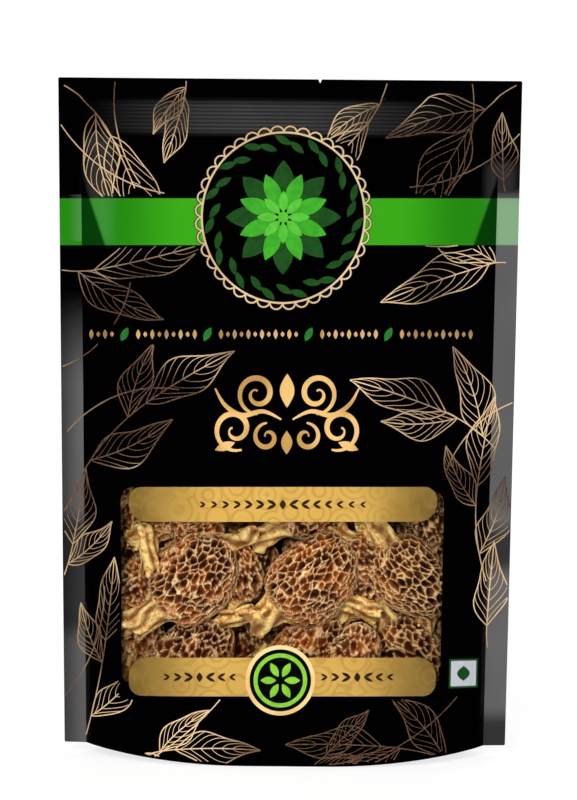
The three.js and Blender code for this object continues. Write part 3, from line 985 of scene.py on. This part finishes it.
def bead_row():
    """Five runs of gold lozenges and beads with a green leaf between each two, across the front."""
    gold = line_finish("bead_gold", rgb(214, 172, 96), rgb(150, 112, 54), 0.4, 0.6, 60)
    green = plain_finish("row_green_ink", rgb(30, 132, 40), rgb(22, 110, 30), 0.45)
    leaves = [-57.4, -28.2, 7.4, 35.4]
    ends = [-70.5] + [u for leaf in leaves for u in (leaf - 3.4, leaf + 3.4)] + [65.4]
    shapes = []
    for start, end in zip(ends[::2], ends[1::2]):
        count = max(2, round((end - start) / 2.4))
        pitch = (end - start) / count
        for k in range(count):
            u = start + pitch * (k + 0.5)
            tall, wide = ((3.4, 1.5), (1.9, 1.3))[k % 2]
            shapes.append(((u, ROW_V - tall / 2), 90, tall, wide, 1.0))
    printed(blades("row_lozenges", shapes, 0.02), gold)
    shapes = [((u - 1.4, ROW_V - 2.3), 62, 5.2, 2.5, 0.8) for u in leaves]
    printed(blades("row_leaves", shapes, 0.02), green)


def banner_ornament(name, middle, v, half, dark):
    """A dark lozenge between two tapering runs of paired leaves."""
    shapes = [((middle, v - 1.7), 90, 3.4, 2.2, 1.0)]
    count = round(half / 4.2)
    for k in range(count):
        size = 1 - 0.45 * k / count
        for side in (1, -1):
            u = middle + side * (2.4 + 4.2 * k)
            for tilt in (26, -26):
                heading = tilt if side > 0 else 180 - tilt
                shapes.append(((u, v), heading, 3.6 * size, 1.15 * size, 0.8))
    printed(blades(name, shapes, 0.22), dark)


def labels():
    gold = gold_label_finish()
    dark = plain_finish("label_brown_ink", rgb(52, 32, 12), rgb(38, 24, 10), 0.5)
    dress(patch("top_banner", TOP_BANNER, 0.12, 0.05), "gold_label", gold, "banner_top")
    dress(patch("low_banner", LOW_BANNER, 0.12, 0.05), "gold_label", gold, "banner_low")
    banner_ornament("top_banner_ornament", TOP_BANNER[0], TOP_BANNER[1], 29, dark)
    banner_ornament("low_banner_ornament_left", -31, LOW_BANNER[1], 12, dark)
    banner_ornament("low_banner_ornament_right", 26, LOW_BANNER[1], 14, dark)

    foil = line_finish("seal_gold", rgb(240, 204, 140), rgb(222, 180, 108), 0.35, 0.65, 90)
    black = plain_finish("seal_black", INK_BLACK, rgb(9, 9, 10), 0.35)
    lime = plain_finish("seal_lime", rgb(132, 200, 36), rgb(112, 184, 28), 0.45)
    middle = Vector((SEAL_U, SEAL_V))
    dress(disc("seal_disc", middle, SEAL_RADIUS, 0.12, 0.25), "seal_foil", foil, "round_seal")
    dress(disc("seal_black_disc", middle, 11.1, 0.05, 0.38), "seal_foil", black)
    dress(disc("seal_lime_ring", middle, 9.7, 0.05, 0.44, 8.2), "seal_foil", lime)
    petals = [(middle + direction(a) * 1.5, a, 5.6, 2.6, 0.8) for a in steps(0, 300, 5)]
    dress(blades("seal_petals", petals, 0.44), "seal_foil", lime)

    white = plain_finish("mark_white", rgb(200, 202, 210), rgb(190, 192, 200), 0.4)
    green = plain_finish("mark_green", rgb(8, 84, 16), rgb(6, 72, 14), 0.4)
    frame_shape = (MARK[0], MARK[1], MARK[2] + 1.4, MARK[3] + 1.4, 0.4, 0.4)
    printed(patch("mark_frame", frame_shape, 0.05, 0.02), green)
    printed(patch("mark_square", MARK, 0.05, 0.08), white)
    lozenge = ((MARK[0], MARK[1] - 2.6), 90, 5.2, 4.6, 0.9)
    printed(blades("mark_lozenge", [lozenge], 0.14), green)


# The morels

NEAR_MORELS = [
    (-35.5, -7, 60.5, 41, 45, 28, 16), (5.5, -8, 61.5, 41, 46, 29, 17), (41, -5, 68, -52, 43, 26, 14),
    (-35.5, -2, 32.5, 41, 43, 26, 15), (5.5, -2, 33.5, 41, 44, 27, 16), (41, -1, 40, -52, 40, 24, 13),
    (-35.5, -1.5, 88.5, 41, 43, 26, 14), (5.5, -1.5, 89.5, 41, 44, 27, 15), (43, 0, 97, -52, 40, 24, 12),
]
MIDDLE_MORELS = [
    (-56, 5, 70, 75, 24, 14, 7), (-58, -2, 97, 80, 28, 17, 8), (-14, 6, 58, 60, 36, 21, 12),
    (24, 7, 61, -50, 36, 21, 11), (-15, 6.5, 84, 30, 30, 16, 10), (-56, 0.5, 45, 100, 28, 16, 8),
    (22, -13.5, 36, 60, 30, 18, 9), (-15, 11.5, 35, 70, 32, 18, 10), (22, 7.5, 88, -40, 30, 18, 9),
    (55, 5, 50, 80, 26, 15, 7), (-30, 12, 64, 80, 34, 20, 10), (6, 12.5, 62, 80, 34, 20, 10),
]
UPPER_MORELS = [(-30, 0, 124, 10, 42, 24, 15), (14, 0, 123, -8, 42, 24, 15), (45, 0, 139, 15, 32, 18, 9)]
# From the tip to the cut end of the stem, and into its hollow: share of the length, share of half the width
MOREL_PROFILE = [
    (0.0, 0.0), (0.02, 0.3), (0.08, 0.58), (0.18, 0.82), (0.32, 0.97), (0.45, 1.0), (0.58, 0.92),
    (0.68, 0.76), (0.735, 0.52), (0.77, 0.38), (0.86, 0.33), (0.95, 0.36), (1.0, 0.42), (0.995, 0.32),
    (0.95, 0.22), (0.88, 0.16), (0.87, 0.0),
]
CAP_END = 0.735
# Broken stems and caps that lie loose between the morels, and the profile of such a stem
LOOSE_STEMS = [
    (-48, -8, 75, 100, 17, 8, 7), (-16, -6, 78, 24, 13, 7, 6), (-17, -5.5, 50, 14, 13, 7, 6),
    (25, -6, 54, 158, 15, 8, 6), (29, -5, 82, 110, 14, 7, 6),
]
LOOSE_CAPS = [
    (-51, -3, 57, 66, 29, 20, 9), (-47, -3, 86, 60, 26, 17, 8), (25, -5, 73, -50, 26, 17, 8),
    (50, -2, 58, 84, 28, 18, 8), (-17, -4, 62, 80, 28, 18, 8), (23, -3, 56, 60, 26, 17, 8),
    (50, -2, 82, 84, 26, 17, 8), (-33, -4, 76, 30, 26, 16, 8), (-53, 5, 84, 80, 30, 18, 8),
    (-42, 7, 74, 70, 30, 20, 8), (-52, 2, 38, 82, 28, 18, 8), (-1, 7, 43, 60, 30, 20, 8),
    (41, 8, 79, 70, 32, 20, 8), (54, 3, 70, 88, 30, 16, 8),
]
STEM_PROFILE = [
    (0.0, 0.0), (0.01, 0.45), (0.06, 0.74), (0.3, 0.8), (0.6, 0.78), (0.88, 0.9), (1.0, 1.0), (0.99, 0.8),
    (0.92, 0.62), (0.86, 0.4), (0.85, 0.0),
]
PIT_DEPTH = 1.5
CELL_LENGTH = 3.5
CELL_WIDTH = 2.3
CREST_EDGE = 0.12


def morel(name, row, segments, rings, seed, outline=MOREL_PROFILE, cap_end=CAP_END):
    x, y, z, turn, length, width, thick = row
    deselect()
    bpy.ops.mesh.primitive_uv_sphere_add(segments=segments, ring_count=rings, radius=1)
    obj = added(name)
    profile = evenly([(s * length, r * width / 2) for s, r in outline], rings)
    hollow_from = max(range(rings + 1), key=lambda k: profile[k].x)
    ridges, depths, stems = [], [], []
    flat = thick / width
    cos_turn, sin_turn = cos(radians(turn)), sin(radians(turn))
    shift = Vector((11.3 * seed, 5.7 * seed, 8.9 * seed))
    for vertex in obj.data.vertices:
        k = round(rings * acos(max(-1, min(1, vertex.co.z))) / pi)
        angle = atan2(vertex.co.y, vertex.co.x)
        run = profile[min(k + 1, rings)] - profile[max(k - 1, 0)]
        run.normalize()
        s, r = profile[k].x / length, profile[k].y
        outward = Vector((run.y, run.x * cos(angle), run.x * sin(angle)))
        place = Vector((length / 2 - profile[k].x, r * cos(angle) * flat, r * sin(angle)))
        spot = place + shift
        on_stem = smooth(cap_end - 0.03, cap_end + 0.03, s)
        warp = noise.noise_vector(spot / 7) * 0.4
        cell = Vector((place.x / CELL_LENGTH, place.y / CELL_WIDTH, place.z / CELL_WIDTH)) + warp + shift
        near = noise.voronoi(cell)[0]
        edge = near[1] - near[0] + 0.07 * noise.noise(spot * 1.3)
        soft = noise.noise(spot / 9)
        ragged = noise.noise(spot * 0.9)
        pit = -PIT_DEPTH * smooth(0.04, 0.3, edge) * (0.9 + 0.5 * ragged)
        fold = 0.5 * sin(4 * angle + 7 * soft) + 0.5 * noise.noise(spot / 4)
        height = mix(pit + 0.9 * soft + 0.4 * ragged, fold + 0.15 * ragged, on_stem)
        if k > hollow_from:
            height *= -0.3
        place += outward * height
        if s > 0.9:
            torn = noise.noise(Vector((2.2 * cos(angle), 2.2 * sin(angle), 3.3 * seed)))
            place.x += 2.6 * torn * smooth(0.9, 1.0, s)
        place.z += 0.05 * length * ((2 * place.x / length) ** 2 - 0.4)
        vertex.co = Vector((
            x + place.x * cos_turn - place.z * sin_turn,
            y + place.y,
            z + place.x * sin_turn + place.z * cos_turn,
        )) * MM
        ridges.append(1 - smooth(0.02, CREST_EDGE, edge))
        # how deep each point lies in its pit or fold; the finish darkens by it, partly as painted shade
        depths.append(mix(smooth(0.12, 0.42, edge), smooth(0.3, -0.6, fold), on_stem))
        stems.append(on_stem)
    for label, values in (("ridge", ridges), ("depth", depths), ("stem", stems)):
        obj.data.attributes.new(label, "FLOAT", "POINT").data.foreach_set("value", values)
    face_outward(obj)
    bpy.ops.object.shade_smooth()
    return obj


def filling():
    """The morels, and the loose stems and caps that fill the gaps between them."""
    skin = morel_finish()
    for i, row in enumerate(LOOSE_STEMS):
        dress(morel(f"loose_stem_{i + 1}", row, 72, 48, i + 41, STEM_PROFILE, -1), "dried_morel", skin)
    for i, row in enumerate(LOOSE_CAPS):
        dress(morel(f"loose_cap_{i + 1}", row, 84, 60, i + 61), "dried_morel", skin)
    share = 1.0
    sizes = [(240, 170)] * 3 + [(150, 110)] * 6 + [(80, 58)] * len(MIDDLE_MORELS)
    sizes += [(60, 44)] * len(UPPER_MORELS)
    for i, (row, size) in enumerate(zip(NEAR_MORELS + MIDDLE_MORELS + UPPER_MORELS, sizes)):
        segments, rings = [round(count * share) for count in size]
        node = f"morel_{i + 1:02d}"
        dress(morel(f"dried_{node}", row, segments, rings, i + 1), "dried_morel", skin, node)


# Light, floor and camera

def aimed(kind, name, place, target):
    """A light that faces its target and that the camera never sees."""
    place = Vector(place)
    bpy.ops.object.light_add(type=kind, location=place)
    obj = bpy.context.object
    obj.name = name
    obj.rotation_euler = (place - Vector(target)).to_track_quat("Z", "Y").to_euler()
    obj.visible_camera = False
    return obj


def lamp(name, place, target, size, radiance, lighting):
    """A rectangular lamp of even radiance. It gives light, or it only shows as a reflection."""
    obj = aimed("AREA", name, place, target)
    obj.data.shape = "RECTANGLE"
    obj.data.size, obj.data.size_y = size
    obj.data.energy = radiance * pi * size[0] * size[1]
    obj.visible_diffuse = lighting
    obj.visible_glossy = not lighting


def lights():
    lamp("key", (-0.9, -1.3, 1.5), (0, 0, 0.1), (0.4, 0.4), 26.0, True)
    lamp("fill", (1.3, -1.3, 0.7), (0, 0, 0.1), (0.9, 0.9), 1.2, True)
    lamp("front", (-0.3, -2.4, 0.9), (0, 0, 0.08), (0.4, 0.4), 10.0, True)
    lamp("top", (0, 0.1, 2.2), (0, 0.1, 0), (3.0, 3.0), 1.0, True)
    lamp("back_key", (0.8, 1.5, 1.2), (0, 0, 0.1), (0.7, 0.7), 5.0, True)
    lamp("left_box", (-1.1, 0.45, 0.5), (0, 0, 0.12), (0.35, 1.0), 2.0, False)
    lamp("right_box", (1.1, 0.45, 0.5), (0, 0, 0.12), (0.35, 1.0), 3.0, False)
    lamp("back_box", (0.5, 1.2, 0.7), (0, 0, 0.12), (0.6, 0.6), 2.0, False)


def window_lamp():
    """A narrow spot that reaches the morels through the window, from beside the camera."""
    obj = aimed("SPOT", "window_lamp", (-0.5, -2.4, 1.0), (0, 0, 0.062))
    obj.data.energy = 130
    obj.data.spot_size = radians(3.4)
    obj.data.spot_blend = 0.4
    obj.data.shadow_soft_size = 0.05
    obj.visible_glossy = False


def world():
    """White to the camera, dark in reflections, and soft grey as light."""
    space = bpy.data.worlds.new("studio")
    bpy.context.scene.world = space
    space.use_nodes = True
    tree = space.node_tree
    background = tree.nodes["Background"]
    path = tree.nodes.new("ShaderNodeLightPath")
    unseen = calc(tree, "SUBTRACT", 1.0, path.outputs["Is Camera Ray"])
    dull = times(tree, unseen, calc(tree, "SUBTRACT", 1.0, path.outputs["Is Glossy Ray"]))
    strength = scaled(tree, dull, 0.3, path.outputs["Is Camera Ray"])
    background.inputs["Color"].default_value = (1, 1, 1, 1)
    tree.links.new(strength, background.inputs["Strength"])


def floor_finish():
    """Pale paper that glows a little, so that shadows on it stay soft."""
    material, tree, shader = finish("floor_paper", Roughness=0.9, Emission_Strength=0.765)
    place = object_place(tree)[0]
    fibre = ease(tree, speckle(tree, place, 30, 4), 0.3, 0.7)
    paint(tree, shader, blend(tree, fibre, rgb(150, 150, 150), rgb(145, 145, 145)))
    shader.inputs["Emission Color"].default_value = (1, 1, 1, 1)
    return material


def floor():
    deselect()
    bpy.ops.mesh.primitive_plane_add(size=14, location=(0, 2, -0.0002))
    obj = added("studio_floor")
    obj.data.materials.append(floor_finish())
    obj.visible_glossy = False


def camera():
    elevation = radians(CAMERA_ELEVATION)
    away = Vector((0, -cos(elevation), sin(elevation)))
    bpy.ops.object.camera_add(location=CAMERA_TARGET + away * CAMERA_DISTANCE)
    obj = bpy.context.object
    facing = away.to_track_quat("Z", "Y").to_matrix()
    obj.rotation_euler = (facing @ Matrix.Rotation(radians(CAMERA_ROLL), 3, "Z")).to_euler()
    obj.data.lens = SENSOR * CAMERA_DISTANCE / (IMAGE_HEIGHT / PIXELS_PER_MM * MM)
    obj.data.clip_end = 60
    bpy.context.scene.camera = obj


bpy.context.scene.view_settings.view_transform = "Standard"
camera()
lights()
window_lamp()
world()
floor()

black_film = film_finish()
dress(film_panel("front_film", FRONT), "black_film", black_film, "front_panel")
dress(film_panel("back_film", BACK), "black_film", black_film, "back_panel")
dress(gusset(), "black_film", black_film, "bottom_gusset")
dress(patch("window_film", PANE, 0.1, -0.45), "clear_film", clear_finish(), "window_pane")
zip_finish = plain_finish("zip_plastic", rgb(40, 42, 44), rgb(52, 54, 56), 0.35)
for name in ("zip_front", "zip_back"):
    zip_half = frame["nodes"][name]
    zip_half.data.materials.clear()
    zip_half.data.materials.append(zip_finish)
line_art()
medallion()
flourish()
bead_row()
labels()
filling()

bpy.context.view_layer.update()
